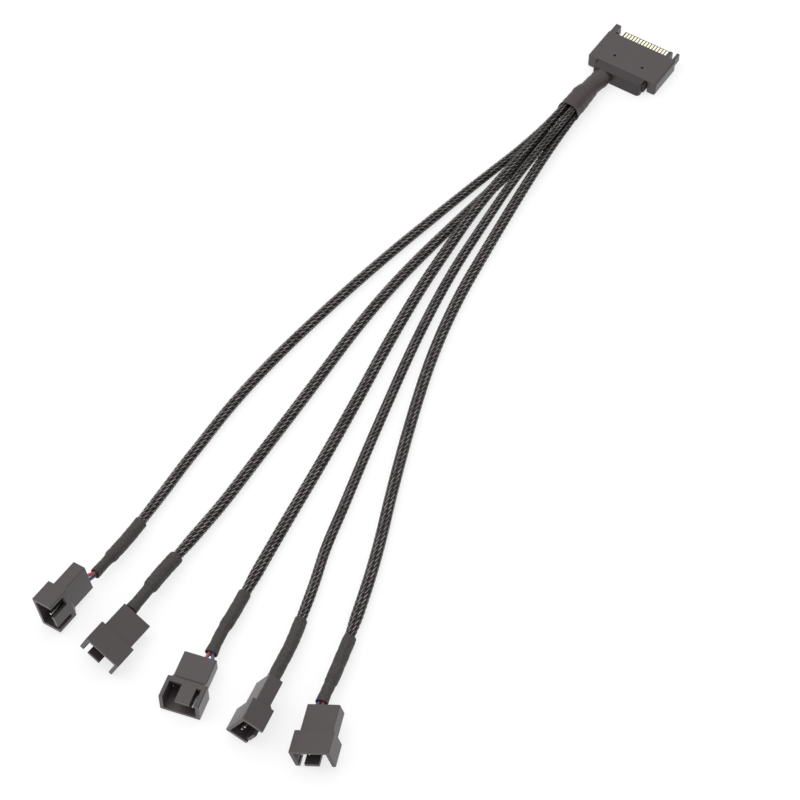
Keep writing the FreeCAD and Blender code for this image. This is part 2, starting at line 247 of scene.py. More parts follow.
def plain_material(name, colour, roughness, metallic=0.0, gloss=0.5):
    """One colour and one gloss all over."""
    material = bpy.data.materials.new(name)
    material.use_nodes = True
    shader = material.node_tree.nodes["Principled BSDF"]
    shader.inputs["Base Color"].default_value = (*colour, 1)
    shader.inputs["Roughness"].default_value = roughness
    shader.inputs["Metallic"].default_value = metallic
    shader.inputs["Specular IOR Level"].default_value = gloss
    return material


def colour_by(material, factor, low, high):
    """The base colour runs from low to high as the factor goes from 0 to 1."""
    nodes, links = material.node_tree.nodes, material.node_tree.links
    mix = nodes.new("ShaderNodeMix")
    mix.data_type = "RGBA"
    mix.inputs[MIX_LOW].default_value = (*low, 1)
    mix.inputs[MIX_HIGH].default_value = (*high, 1)
    links.new(factor, mix.inputs[MIX_FACTOR])
    links.new(mix.outputs[MIX_RESULT], nodes["Principled BSDF"].inputs["Base Color"])


def grained_material(name, colour, scale, base, spread, bump, gloss=0.5, mottle=0.0):
    """A plastic whose gloss and surface follow the shared grain.
    A mottled one runs from 1 - mottle times its colour, where the grain is low, to 1 + mottle times it."""
    material = plain_material(name, colour, base, gloss=gloss)
    nodes, links = material.node_tree.nodes, material.node_tree.links
    shader = nodes["Principled BSDF"]
    shader.inputs["IOR"].default_value = PLASTIC_IOR
    grain = nodes.new("ShaderNodeGroup")
    grain.node_tree = SURFACE_GRAIN
    for socket, value in zip(GRAIN_INPUTS, (scale, base, spread)):
        grain.inputs[socket].default_value = value
    lift = nodes.new("ShaderNodeBump")
    lift.inputs["Strength"].default_value = bump
    lift.inputs["Distance"].default_value = GRAIN_DEPTH
    links.new(grain.outputs["Roughness"], shader.inputs["Roughness"])
    links.new(grain.outputs["Height"], lift.inputs["Height"])
    links.new(lift.outputs["Normal"], shader.inputs["Normal"])
    if mottle:
        level = map_range(nodes, MOTTLE_GRAIN, OFF_TO_ON)
        links.new(grain.outputs["Height"], level.inputs["Value"])
        colour_by(material, level.outputs["Result"], [c * (1 - mottle) for c in colour],
                  [c * (1 + mottle) for c in colour])
    return material


print("share of light that plastic mirrors head-on:", round(((PLASTIC_IOR - 1) / (PLASTIC_IOR + 1)) ** 2, 3))

# %% [markdown]
# The sleeves' yarn is stiff black filament. A bundle catches the light where it lies on top, and goes nearly
# black where it dives under its neighbours, and the colour paints this light and shade. A noise over the whole
# sleeve would not know which bundle is on top, so the mesh carries a painted light value for every point, and the
# material reads it. A fine noise then breaks the light up, as single filaments do.

# %% Yarn finish, with painted light and shade
FILAMENT_SCALE = 1700.0
FILAMENT_NOISE, FILAMENT_LIGHT = (0.3, 0.7), (0.35, 1.65)


def woven_material(name, painted_shade, painted_light, roughness, gloss):
    """The colour runs from the painted shade colour to the painted light colour with the point's painted light
    value times an uneven light.
    """
    material = plain_material(name, painted_light, roughness, gloss=gloss)
    nodes, links = material.node_tree.nodes, material.node_tree.links
    # The attribute read here is painted light and shade, made with the sleeve's mesh.
    height = nodes.new("ShaderNodeAttribute")
    height.attribute_name = "painted_light"
    place = nodes.new("ShaderNodeTexCoord")
    speckle = nodes.new("ShaderNodeTexNoise")
    speckle.inputs["Scale"].default_value = FILAMENT_SCALE
    uneven = map_range(nodes, FILAMENT_NOISE, FILAMENT_LIGHT)
    light = nodes.new("ShaderNodeMath")
    light.operation = "MULTIPLY"
    light.use_clamp = True
    links.new(place.outputs["Object"], speckle.inputs["Vector"])
    links.new(speckle.outputs["Fac"], uneven.inputs["Value"])
    links.new(height.outputs["Fac"], light.inputs[0])
    links.new(uneven.outputs["Result"], light.inputs[1])
    colour_by(material, light.outputs["Value"], painted_shade, painted_light)
    return material


print("size of a speckle, mm:", round(1 / FILAMENT_SCALE / MM, 2))

# %% [markdown]
# With these kinds, each finish of the cable is a line or two of values. The dark greys lean a little to red, as
# such plastics do, and the plug's rear cover is duller than its housing. The contacts' gold is pale, because
# thin plating mirrors the white tent more than it shows its own colour.

# %% Finishes of the cable
MOULDED_PLASTIC = grained_material("moulded_plastic", (0.047, 0.037, 0.038),
                                   scale=2600.0, base=0.36, spread=0.16, bump=0.25)
COVER_PLASTIC = grained_material("cover_plastic", (0.036, 0.029, 0.030),
                                 scale=2600.0, base=0.42, spread=0.16, bump=0.25, gloss=0.3)
TRUNK_SKIN = grained_material("trunk_skin", (0.038, 0.025, 0.025),
                              scale=1600.0, base=0.50, spread=0.16, bump=0.5, mottle=0.15)
BOOT_SKIN = grained_material("boot_skin", (0.045, 0.039, 0.0385),
                             scale=2600.0, base=0.46, spread=0.16, bump=0.6, gloss=0.24, mottle=0.45)
SLEEVE_YARN = woven_material("sleeve_yarn", painted_shade=(0.004, 0.0035, 0.0035), painted_light=(0.310, 0.280, 0.277),
                             roughness=0.42, gloss=0.10)
# Near black and without gloss: the core is painted shade, the dark inside seen between the bundles.
SLEEVE_SHADE = plain_material("sleeve_shade", (0.002, 0.002, 0.002), roughness=0.9, gloss=0.0)
RED_WIRE = plain_material("red_wire", (0.30, 0.060, 0.075), roughness=0.32)
BLUE_WIRE = plain_material("blue_wire", (0.095, 0.075, 0.17), roughness=0.32)
GOLD_PLATE = plain_material("gold_plate", (0.97, 0.95, 0.72), roughness=0.22, metallic=1.0)
TIN_PLATE = plain_material("tin_plate", (0.72, 0.71, 0.68), roughness=0.30, metallic=1.0)
print("materials:", len(bpy.data.materials))

# %% [markdown]
# The five fan headers lie on the table each at its own turn: one on its back, some tipped on an edge, as they
# were dropped. A header has its own directions, across its width, out of its mouth and through its thickness.
# Heading, lift and roll give them, and later steps place small things on a header by its own three measures.

# %% Where the headers lie
LEADS = range(1, 6)
HEADER_LENGTH = 18.5
HEADER_TURNS = {
    1: (-2.0, -1.5, 260.0),
    2: (-0.5, 4.5, 24.0),
    3: (14.5, 0.0, 180.0),
    4: (10.0, 0.0, -61.0),
    5: (21.0, 2.0, -17.0),
}
HEADER_PLACES = {
    1: (-29.3, -302.85, 7.75),
    2: (-6.6, -305.45, 5.45),
    3: (19.6, -305.75, 3.8),
    4: (44.0, -302.45, 7.72),
    5: (63.2, -299.35, 5.36),
}


def unit(vectors):
    """Vectors divided by their lengths."""
    return vectors / np.linalg.norm(vectors, axis=-1, keepdims=True)


def header_axes(n):
    """The header's directions across its width and out of its mouth.
    Out follows from heading and lift, and the width is out x up of the room, turned about out by the roll."""
    heading, lift, roll = (math.radians(v) for v in HEADER_TURNS[n])
    level = math.cos(lift)
    out = np.array([math.sin(heading) * level, -math.cos(heading) * level, math.sin(lift)])
    right = unit(np.cross(out, (0.0, 0.0, 1.0)))
    up = np.cross(right, out)
    return right * math.cos(roll) + up * math.sin(roll), out


def on_header(n, points):
    """The header's place plus its own measures times its three directions, in millimetres."""
    wide, out = header_axes(n)
    return np.array(HEADER_PLACES[n]) + np.asarray(points) @ np.stack([wide, out, np.cross(wide, out)])


print("mouth of header 3, mm:", on_header(3, (0.0, HEADER_LENGTH, 0.0)).round(1))

# %% [markdown]
# The plug, the fan headers and their metal are hard moulded or stamped pieces, so their CAD solids carry the
# true shape. A real mould never leaves a knife edge: a tiny round on every edge catches the light and draws
# the outline. Each solid is copied, its loose triangles are joined into whole faces, and a Bevel modifier rounds
# the sharp edges. A Weighted Normal modifier then lets the large faces set the shading, so they look flat right
# up to the rounds. The headers also get two bars inside, which close the seam between body and shroud so that
# no light leaks into the mouth.

# %% Moulded and stamped pieces
JOIN_DISTANCE = 0.002 * MM
FLAT_ANGLE = math.radians(0.5)
SHARP_ANGLE = math.radians(28)
EDGE_SEGMENTS = 2
MOULD_EDGE, COVER_EDGE, METAL_EDGE = 0.10 * MM, 0.08 * MM, 0.04 * MM
SEAM_BARS = (((-5.4, 10.2, 2.2), (5.4, 10.8, 2.49)), ((-5.4, 10.5, 2.4), (5.4, 10.8, 2.9)))
BAR_CORNERS = np.array([(i & 1, i >> 1 & 1, i >> 2) for i in range(8)])
BAR_FACES = [(0, 2, 3, 1), (4, 5, 7, 6), (0, 1, 5, 4), (2, 6, 7, 3), (0, 4, 6, 2), (1, 3, 7, 5)]


def add_seam_bars(work, n):
    """Each bar is a box between two corners in the header's own measures."""
    for low, high in SEAM_BARS:
        corners = on_header(n, np.array(low) + BAR_CORNERS * (np.array(high) - np.array(low))) * MM
        verts = [work.verts.new(corner) for corner in corners]
        for face in BAR_FACES:
            work.faces.new([verts[i] for i in face])


def edge_rounded(node, name, edge, material, header=None):
    """A copy of a CAD solid with joined faces and rounded edges, shown in its place."""
    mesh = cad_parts[node].data.copy()
    mesh.name = name
    work = bmesh.new()
    work.from_mesh(mesh)
    bmesh.ops.remove_doubles(work, verts=work.verts, dist=JOIN_DISTANCE)
    bmesh.ops.dissolve_limit(work, angle_limit=FLAT_ANGLE, verts=work.verts, edges=work.edges)
    if header:
        add_seam_bars(work, header)
    work.to_mesh(mesh)
    work.free()
    mesh.materials.clear()
    mesh.materials.append(material)
    mesh.polygons.foreach_set("use_smooth", np.ones(len(mesh.polygons), dtype=bool))
    mesh.set_sharp_from_angle(angle=SHARP_ANGLE)
    piece = bpy.data.objects.new(name, mesh)
    bpy.context.collection.objects.link(piece)
    bevel = piece.modifiers.new("edge_round", "BEVEL")
    bevel.width = edge
    bevel.segments = EDGE_SEGMENTS
    bevel.limit_method = "ANGLE"
    bevel.angle_limit = SHARP_ANGLE
    even = piece.modifiers.new("even_shading", "WEIGHTED_NORMAL")
    even.keep_sharp = True
    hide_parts(node)
    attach(piece, "root")
    return piece


edge_rounded("plug_housing", "plug_body", MOULD_EDGE, MOULDED_PLASTIC)
edge_rounded("plug_rear_cover", "plug_back", COVER_EDGE, COVER_PLASTIC)
edge_rounded("plug_contacts", "plug_strips", METAL_EDGE, GOLD_PLATE)
headers = {n: edge_rounded(f"fan_header_{n}", f"fan_socket_{n}", MOULD_EDGE, MOULDED_PLASTIC,
                           n) for n in LEADS}
pins = {n: edge_rounded(f"fan_pins_{n}", f"fan_contacts_{n}", METAL_EDGE, TIN_PLATE)
        for n in LEADS}
print("moulded pieces:", 3 + len(headers) + len(pins))

# %% [markdown]
# Each lead is a pair of wires in a braided sleeve, and it lies in a loose curve on the table. Its route is a
# short list of points, which a NURBS curve of order three rounds off, much as a stiff cable rounds them. The
# curve is read back as a dense line of points at equal steps, and everything on the lead is carried along that
# line. Real leads also have slight waves, so each has a few small sways of less than a millimetre on top.

# %% Routes of the leads
SLEEVE_START, FIRST_KNEE = -28.0, -50.0
BUNDLE_X, BUNDLE_Z, BUNDLE_RING = -6.1, 4.6, 2.75
RING_ANGLES = {1: 198.0, 2: 270.0, 3: 126.0, 4: 54.0, 5: 342.0}
REST = 1.65
KNEES = {
    1: [(-18.1, -92.0, 2.0), (-28.0, -150.0, REST), (-33.5, -211.0, REST), (-29.6, -256.0, REST)],
    2: [(-12.4, -98.0, REST), (-16.7, -150.0, REST), (-13.1, -206.0, REST), (-10.8, -257.0, REST)],
    3: [(-10.2, -102.0, 3.6), (-5.1, -152.0, REST), (5.1, -207.0, REST), (13.2, -262.0, REST)],
    4: [(-5.9, -92.0, 2.3), (1.6, -148.0, REST), (16.0, -205.0, REST), (26.4, -242.0, REST),
        (35.1, -269.0, REST)],
    5: [(1.0, -96.0, REST), (8.0, -147.0, REST), (27.0, -202.0, REST), (49.6, -256.0, REST)],
}
BOOT_ENDS = {
    1: (-27.8, -299.2, 5.0),
    2: (-9.2, -304.2, 6.1),
    3: (21.1, -302.4, 4.2),
    4: (43.3, -300.2, 5.3),
    5: (60.6, -297.2, 4.4),
}
BOOT_LENGTH = 25.5
BOOT_STEPS = {1: 17.1, 2: 14.4, 3: 13.7, 4: 7.9, 5: 17.7}
SWAYS = {
    1: [(-246.0, 11.0, -0.4), (-282.0, 13.0, 0.6)],
    2: [(-253.0, 14.0, 0.35), (-287.0, 9.0, -0.3)],
    3: [(-118.0, 14.0, 0.35), (-294.0, 6.0, -0.4)],
    4: [(-100.0, 20.0, 0.5), (-170.0, 50.0, 0.3), (-248.0, 12.0, -0.6), (-285.0, 10.0, 0.65)],
    5: [(-130.0, 35.0, 0.4), (-296.0, 5.0, -0.3)],
}
CURVE_ORDER, CURVE_RESOLUTION = 3, 64
ROUTE_STEP = 0.25


def resample(line, step):
    """Points at equal steps along a line, by its running length."""
    run = np.concatenate([[0.0], np.cumsum(np.linalg.norm(np.diff(line, axis=0), axis=1))])
    at = np.linspace(0.0, run[-1], max(2, int(round(run[-1] / step)) + 1))
    return np.stack([np.interp(at, run, line[:, k]) for k in range(3)], axis=1)


def nurbs_line(points, step):
    """A NURBS curve that starts and ends on its first and last point, read back at equal steps."""
    data = bpy.data.curves.new("route", "CURVE")
    data.dimensions = "3D"
    data.resolution_u = CURVE_RESOLUTION
    spline = data.splines.new("NURBS")
    spline.points.add(len(points) - 1)
    spline.points.foreach_set("co", np.column_stack([points, np.ones(len(points))]).ravel())
    spline.order_u = CURVE_ORDER
    spline.use_endpoint_u = True
    holder = bpy.data.objects.new("route", data)
    read = bpy.data.meshes.new_from_object(holder)
    line = np.empty(len(read.vertices) * 3)
    read.vertices.foreach_get("co", line)
    bpy.data.objects.remove(holder)
    bpy.data.curves.remove(data)
    bpy.data.meshes.remove(read)
    return resample(line.reshape(-1, 3), step)


def swayed(n, points):
    """Points pushed along x by the sum of the lead's sways, each its height times
    exp(-((y - place) / width)^2)."""
    push = sum(high * np.exp(-((points[..., 1] - y) / wide) ** 2) for y, wide, high in SWAYS[n])
    return np.stack([points[..., 0] + push, points[..., 1], points[..., 2]], axis=-1)


def boot_direction(n):
    """From the lead's last knee to the boot's mouth, as a unit vector."""
    return unit(np.array(BOOT_ENDS[n]) - np.array(KNEES[n][-1]))


def sleeve_end(n):
    """The sleeve stops at the boot's step, where only the wires go on."""
    return np.array(BOOT_ENDS[n]) - boot_direction(n) * (BOOT_LENGTH - BOOT_STEPS[n])


def lead_line(n):
    """The lead's centre line in millimetres, through the trunk, over the table and into the boot."""
    angle = math.radians(RING_ANGLES[n])
    x, z = BUNDLE_X + BUNDLE_RING * math.cos(angle), BUNDLE_Z + BUNDLE_RING * math.sin(angle)
    route = np.array([(x, SLEEVE_START, z), (x, FIRST_KNEE, z), *KNEES[n], sleeve_end(n)])
    return swayed(n, nurbs_line(route, ROUTE_STEP))


lines = {n: lead_line(n) for n in LEADS}

# %% [markdown]
# Every piece on a lead is a skin of points on a grid: one direction runs along the lead, and the other around it
# or across it. Two directions that move along the line, to the side and up, turn flat sections into places in
# space. The helpers below work on whole arrays, so a sleeve of many thousand faces is made in a few steps.

# %% Carrying sections along a line


def moving_frame(line):
    """Side is the line's slope x up of the room, and up is side x slope."""
    ahead = unit(np.gradient(line, axis=0))
    side = unit(np.cross(ahead, (0.0, 0.0, 1.0)))
    return side, np.cross(side, ahead)


def grid_faces(rows, columns, wrap):
    """Corner numbers of the faces between neighbouring rows and columns.
    Wrap joins the last column to the first."""
    index = np.arange(rows * columns).reshape(rows, columns)
    ahead = np.roll(index, -1, axis=1)
    faces = np.stack([index[:-1], ahead[:-1], ahead[1:], index[1:]], axis=-1)
    return (faces if wrap else faces[:, :-1]).reshape(-1, 4)


def add_skin(name, points, faces, materials, numbers=None):
    """A smooth mesh from points in millimetres and four-cornered faces.
    Numbers say which of the materials each face has, and without them all have the first."""
    mesh = bpy.data.meshes.new(name)
    mesh.vertices.add(len(points))
    mesh.vertices.foreach_set("co", (points * MM).ravel())
    mesh.loops.add(faces.size)
    mesh.loops.foreach_set("vertex_index", faces.ravel())
    mesh.polygons.add(len(faces))
    mesh.polygons.foreach_set("loop_start", np.arange(0, faces.size, 4))
    for material in materials:
        mesh.materials.append(material)
    if numbers is not None:
        mesh.polygons.foreach_set("material_index", numbers)
    mesh.polygons.foreach_set("use_smooth", np.ones(len(faces), dtype=bool))
    mesh.update()
    mesh.validate()
    piece = bpy.data.objects.new(name, mesh)
    bpy.context.collection.objects.link(piece)
    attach(piece, "root")
    return piece


def round_skin(line, radius, sides):
    """Rings around a line: side times cosine plus up times sine, at the radius."""
    side, up = moving_frame(line)
    angle = np.linspace(0, 2 * np.pi, sides, endpoint=False)
    ring = np.cos(angle)[None, :, None] * side[:, None] + np.sin(angle)[None, :, None] * up[:, None]
    reach = np.broadcast_to(np.asarray(radius, float), (len(line), sides))
    return line[:, None] + ring * reach[..., None]


print("lead 1 starts with its side towards:", moving_frame(lines[1])[0][0].round(2))

# %% [markdown]
# A sleeve is soft, so its thickness follows what presses on it: thin in the tight bundle, full on the table, and
# gripped again by the boot. Where it lies on the table it goes flat. Where two sleeves press together near the
# trunk, the crease between them lies in deep shade. The bounced light alone leaves that crease too grey, so
# painted shade also darkens the yarn's colour there.

# %% Thickness of the sleeves, and painted shade in their creases
BRAID_RADIUS = 1.74
SLEEVE_SWELL = {1: 0.95, 2: 1.03, 3: 1.08, 4: 0.93, 5: 1.10}
OPEN_FROM, SWELL_RUN = -45.0, 30.0
PINCH_Y = [-125.0, -60.0, -44.0, -38.0, -33.0]
PINCH = [1.0, 0.86, 0.80, 0.71, 0.63]
GRIPPED_RADIUS, GRIP_RUN = 1.52, 9.0
SLEEVE_UNDERSIDE = -0.15
CREASE_PAINTED_SHADE, CREASE_FROM, CREASE_RUN = 0.1, 1.05, 0.6


def eased(t):
    """A smooth step from 0 to 1: t squared times (3 - 2 t)."""
    t = np.clip(t, 0.0, 1.0)
    return t * t * (3 - 2 * t)


def pinched(n, line):
    """The sleeve's radius along the lead: the braid's radius times the lead's swell and the bundle's pinch,
    which eases to the gripped radius towards the boot."""
    swell = 1 + (SLEEVE_SWELL[n] - 1) * eased((OPEN_FROM - line[:, 1]) / SWELL_RUN)
    free = BRAID_RADIUS * swell * np.interp(line[:, 1], PINCH_Y, PINCH)
    to_boot = np.linalg.norm(line - line[-1], axis=1) - BOOT_STEPS[n]
    return free + (np.minimum(free, GRIPPED_RADIUS) - free) * eased(1 - to_boot / GRIP_RUN)


def rested(points):
    """Heights no lower than the sleeve's underside, where it would sink into the table."""
    points[:, 2] = np.maximum(points[:, 2], SLEEVE_UNDERSIDE)
    return points


def painted_crease_shade(n, points):
    """Painted shade for the creases: 1 on the open side of a sleeve, falling to its darkest where another lead
    presses against it.
    It eases with the distance to the other lead's line at the same y, in sleeve radii."""
    y = points[..., 1]
    nearest = np.min([np.hypot(points[..., 0] - np.interp(-y, -lines[m][:, 1], lines[m][:, 0]),
                               points[..., 2] - np.interp(-y, -lines[m][:, 1], lines[m][:, 2]))
                      for m in LEADS if m != n], axis=0)
    clear = eased((nearest / BRAID_RADIUS - CREASE_FROM) / CREASE_RUN)
    return CREASE_PAINTED_SHADE + (1 - CREASE_PAINTED_SHADE) * clear


print("thickest sleeve, mm:", round(2 * max(pinched(n, lines[n]).max() for n in LEADS), 2))

# %% [markdown]
# The sleeve is braided from flat bundles of stiff monofilament: sixteen wind to the left and sixteen to the
# right. Each bundle passes over two crossing bundles and then under two, which gives the rows of short slanted
# flecks. The filaments shine along their length, so from one side the bundles of one hand look light and the
# others dark; the colour paints this sheen, light on one hand and dark on the other. A bump map could fake the
# weave, but the outline would stay smooth, so every bundle is its own ribbon over a dark core.

# %% Braided sleeves
CARRIERS = 16
BRAID_PITCH = 34.0
CROSSING = BRAID_PITCH / (2 * CARRIERS)
SAMPLES_PER_CROSSING = 4
WEAVE_HEIGHT, WEAVE_PHASE = 0.13, 0.5
ACROSS = np.array([-1.0, 0.0, 1.0])
BUNDLE_HALF_WIDTH = {1: 0.27, -1: 0.21}
BUNDLE_CROWN, BUNDLE_EDGE_SHADE = 0.09, 0.9
# Painted sheen: the bundles of one hand are painted light and those of the other dark.
HAND_PAINTED_SHEEN = {1: 0.12, -1: 1.0}
HAND_LIFT = {1: -0.06, -1: 0.06}
FLECK_RANGE = (0.5, 1.3)
# How the painted light follows a bundle's height: light where it lies on top, painted shade where it dives under.
FLECK_MIDDLE, FLECK_GAIN = 0.8, 0.75
# Painted shade over the tight bundle near the trunk, easing away over its run.
BUNDLE_PAINTED_SHADE, PAINTED_SHADE_RUN = 0.74, 60.0
CORE_SHARE, CORE_SIDES, CORE_STEP = 0.90, 14, 1.5


def braid_ribbons(n):
    """Ribbon i of a hand winds at angle 2 pi (i / carriers +- z / pitch).
    It rises and sinks as a cosine with a period of four crossings, and both hands rise at opposite places.
    Its lightness is painted light and shade: it follows its height, falls at its edges, differs a little from
    fleck to fleck, and has painted shade in the tight bundle and in the creases."""
    draw = np.random.default_rng(n)
    line = resample(lines[n], CROSSING / SAMPLES_PER_CROSSING)
    side, up = moving_frame(line)
    z = np.linspace(0.0, CROSSING / SAMPLES_PER_CROSSING * (len(line) - 1), len(line))
    knots = np.arange(0.0, z[-1] + 4 * CROSSING, 2 * CROSSING)
    # Painted shade in the tight bundle.
    painted_bundle_shade = BUNDLE_PAINTED_SHADE + (1 - BUNDLE_PAINTED_SHADE) * eased((OPEN_FROM - line[:, 1]) / PAINTED_SHADE_RUN)
    lean = math.atan2(2 * math.pi * BRAID_RADIUS, BRAID_PITCH)
    points, faces, painted_light, used = [], [], [], 0
    for hand in (1, -1):
        half_angle = BUNDLE_HALF_WIDTH[hand] / math.cos(lean) / BRAID_RADIUS
        for i in range(CARRIERS):
            middle = 2 * np.pi * (i / CARRIERS + hand * z / BRAID_PITCH)
            wave = np.cos(np.pi / 2 * (2 * i + hand * z / CROSSING - WEAVE_PHASE)) * hand
            angle = middle[:, None] + ACROSS * half_angle
            height = WEAVE_HEIGHT * wave + HAND_LIFT[hand]
            radius = (pinched(n, line) + height)[:, None] + BUNDLE_CROWN * (1 - ACROSS ** 2)
            ring = np.cos(angle)[..., None] * side[:, None] + np.sin(angle)[..., None] * up[:, None]
            ribbon = line[:, None] + ring * radius[..., None]
            points.append(ribbon.reshape(-1, 3))
            faces.append(grid_faces(len(line), len(ACROSS), False) + used)
            used += len(points[-1])
            fleck = np.interp(z, knots, draw.uniform(*FLECK_RANGE, len(knots)))
            # Painted light where the bundle lies on top, painted shade where it dives under.
            light = HAND_PAINTED_SHEEN[hand] * fleck * painted_bundle_shade * eased(FLECK_MIDDLE + FLECK_GAIN * wave)
            # Painted shade at the bundle's edges, where it curves down.
            light = light[:, None] * (1 - BUNDLE_EDGE_SHADE * ACROSS ** 2)
            # Painted shade in the creases between sleeves that press together.
            painted_light.append((light * painted_crease_shade(n, ribbon)).ravel())
    return rested(np.concatenate(points)), np.concatenate(faces), np.concatenate(painted_light)


def braided_sleeve(n):
    """The ribbons and a round dark core at a share of the sleeve's radius, as one mesh with two materials."""
    ribbons, ribbon_faces, painted_light = braid_ribbons(n)
    core_line = resample(lines[n], CORE_STEP)
    # The core is painted shade for the sleeve's inside.
    core = round_skin(core_line, (CORE_SHARE * pinched(n, core_line))[:, None], CORE_SIDES).reshape(-1, 3)
    core_faces = grid_faces(len(core_line), CORE_SIDES, True) + len(ribbons)
    numbers = np.concatenate([np.zeros(len(ribbon_faces), int), np.ones(len(core_faces), int)])
    piece = add_skin(f"lead_{n}_braid", np.concatenate([ribbons, core]),
                     np.concatenate([ribbon_faces, core_faces]), [SLEEVE_YARN, SLEEVE_SHADE],
                     numbers)
    # Painted light and shade of the yarn, stored for every point.
    height = piece.data.attributes.new("painted_light", "FLOAT", "POINT")
    height.data.foreach_set("value", np.concatenate([painted_light, np.zeros(len(core))]))
    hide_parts(f"lead_{n}_sleeve")
    return piece


sleeves = {n: braided_sleeve(n) for n in LEADS}
print("faces per sleeve:", {n: len(s.data.polygons) for n, s in sleeves.items()})

# %% [markdown]
# A boot of shrink tube grips the end of each sleeve and then draws down over the two wires, where it turns flat.
# Heat leaves it slightly lumpy, and the braid shows through as faint ripples. A turned profile would be round and
# smooth all the way, so its section is an oval whose two half sizes change along the axis, and two more rings at
# its mouth turn inwards and give it a wall.

# %% Shrink boots
BOOT_RADIUS, BOOT_TAPER, TAPER_LEAD = 2.18, 1.8, 0.3
BOOT_SWELL = {1: 1.0, 2: 1.13, 3: 0.98, 4: 1.0, 5: 1.0}
NECK_HALF_WIDE = {1: 1.9, 2: 1.95, 3: 1.95, 4: 2.15, 5: 1.95}
NECK_HALF_THICK = {1: 1.65, 2: 1.75, 3: 1.75, 4: 2.12, 5: 1.75}
NECK_FLARE, FLARE_LENGTH = 0.22, 4.0
BOOT_PAST = {1: 0.0, 2: 0.0, 3: 0.0, 4: 0.0, 5: 0.8}
BOOT_WALL, BOOT_LIP = 0.3, 4.0
RIM_ROUND, RIM_RUN, FIRST_RING = 0.10, 0.12, 0.3
BOOT_SIDES, BOOT_RINGS = 96, 150
OVAL_LUMP, OVAL_RATE = 0.035, 1.1
ROUND_LUMP, ROUND_RATE = 0.02, 2.3
WEAVE_RIPPLE, CROSS_RIPPLE, NECK_CALM = 0.035, 0.7, 0.5


def boot_flat(n):
    """The wide direction of the boot's neck: the header's width, turned square to the boot."""
    wide, ahead = header_axes(n)[0], boot_direction(n)
    return unit(wide - ahead * np.dot(wide, ahead))


def boot_swell(n, along, angle, draw):
    """1 plus lumps and ripples over the radius. Lumps are sines along the boot, and ripples are cosines
    around it that turn with the braid's two hands and calm down on the neck."""
    s = along[:, None]
    lump = (OVAL_LUMP * np.sin(s * OVAL_RATE + n) * np.cos(2 * angle + n)
            + ROUND_LUMP * np.sin(s * ROUND_RATE + 2 * n))
    turn = 2 * np.pi * s / BRAID_PITCH
    weave = np.cos(CARRIERS * (angle + turn)) + CROSS_RIPPLE * np.cos(CARRIERS * (angle - turn))
    ripple = WEAVE_RIPPLE * weave * (1 - NECK_CALM * draw)[:, None]
    return 1 + (lump + ripple) / BOOT_RADIUS


def shrink_boot(n):
    """Oval rings: wide times half width times cosine, plus tall times half thickness times sine.
    Both half sizes ease from the full radius to the neck at the boot's step, and the first rings round its rim."""
    ahead, wide = boot_direction(n), boot_flat(n)
    tall = np.cross(wide, ahead)
    start = np.array(BOOT_ENDS[n]) - ahead * BOOT_LENGTH
    length = BOOT_LENGTH + BOOT_PAST[n]
    along = np.concatenate([[0.0, 0.0, RIM_RUN], np.linspace(FIRST_RING, length, BOOT_RINGS)])
    inset = np.concatenate([[BOOT_WALL + RIM_ROUND, RIM_ROUND, 0.0], np.zeros(BOOT_RINGS)])
    draw = eased((along - BOOT_STEPS[n] + TAPER_LEAD) / BOOT_TAPER)
    angle = np.linspace(0, 2 * np.pi, BOOT_SIDES, endpoint=False)
    full = BOOT_RADIUS * BOOT_SWELL[n]
    flare = NECK_FLARE * eased((along - length + FLARE_LENGTH) / FLARE_LENGTH)
    half_wide = full + (NECK_HALF_WIDE[n] - full) * draw + flare - inset
    half_tall = full + (NECK_HALF_THICK[n] - full) * draw - inset
    swell = np.where(inset[:, None] > 0, 1.0, boot_swell(n, along, angle, draw))
    outer = np.stack([half_wide[:, None] * np.cos(angle) * swell, half_tall[:, None] * np.sin(angle) * swell,
                      np.broadcast_to(along[:, None], swell.shape)], axis=-1)
    lip = np.array([length, length - BOOT_LIP])[:, None]
    inner = np.stack(np.broadcast_arrays((half_wide[-1] - BOOT_WALL) * np.cos(angle),
                                         (half_tall[-1] - BOOT_WALL) * np.sin(angle), lip), axis=-1)
    local = np.concatenate([outer, inner])
    points = swayed(n, start + local[..., :1] * wide + local[..., 1:2] * tall + local[..., 2:] * ahead)
    faces = grid_faces(len(local), BOOT_SIDES, True)
    piece = add_skin(f"lead_{n}_boot", points.reshape(-1, 3), faces, [BOOT_SKIN])
    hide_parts(f"lead_{n}_shrink")
    return piece


boots = {n: shrink_boot(n) for n in LEADS}
print("boots:", len(boots))

# %% [markdown]
# Between boot and header the red and the blue wire lie bare for a few millimetres and spread to the pitch of the
# pins. Each is a round tube that leaves the boot straight and enters the header straight. The same kind of curve
# as for the leads rounds the short way between the two straight ends.

# %% Bare wires
WIRE_RADIUS, WIRE_HALF_GAP = 0.6, 0.62
WIRE_SIDES = 20
PIN_PLACES = {"blue": 3.81, "red": 1.27}
ENTRY_RUN, CRIMP_DEPTH, BEND_FROM = 0.3, 0.8, 1.0


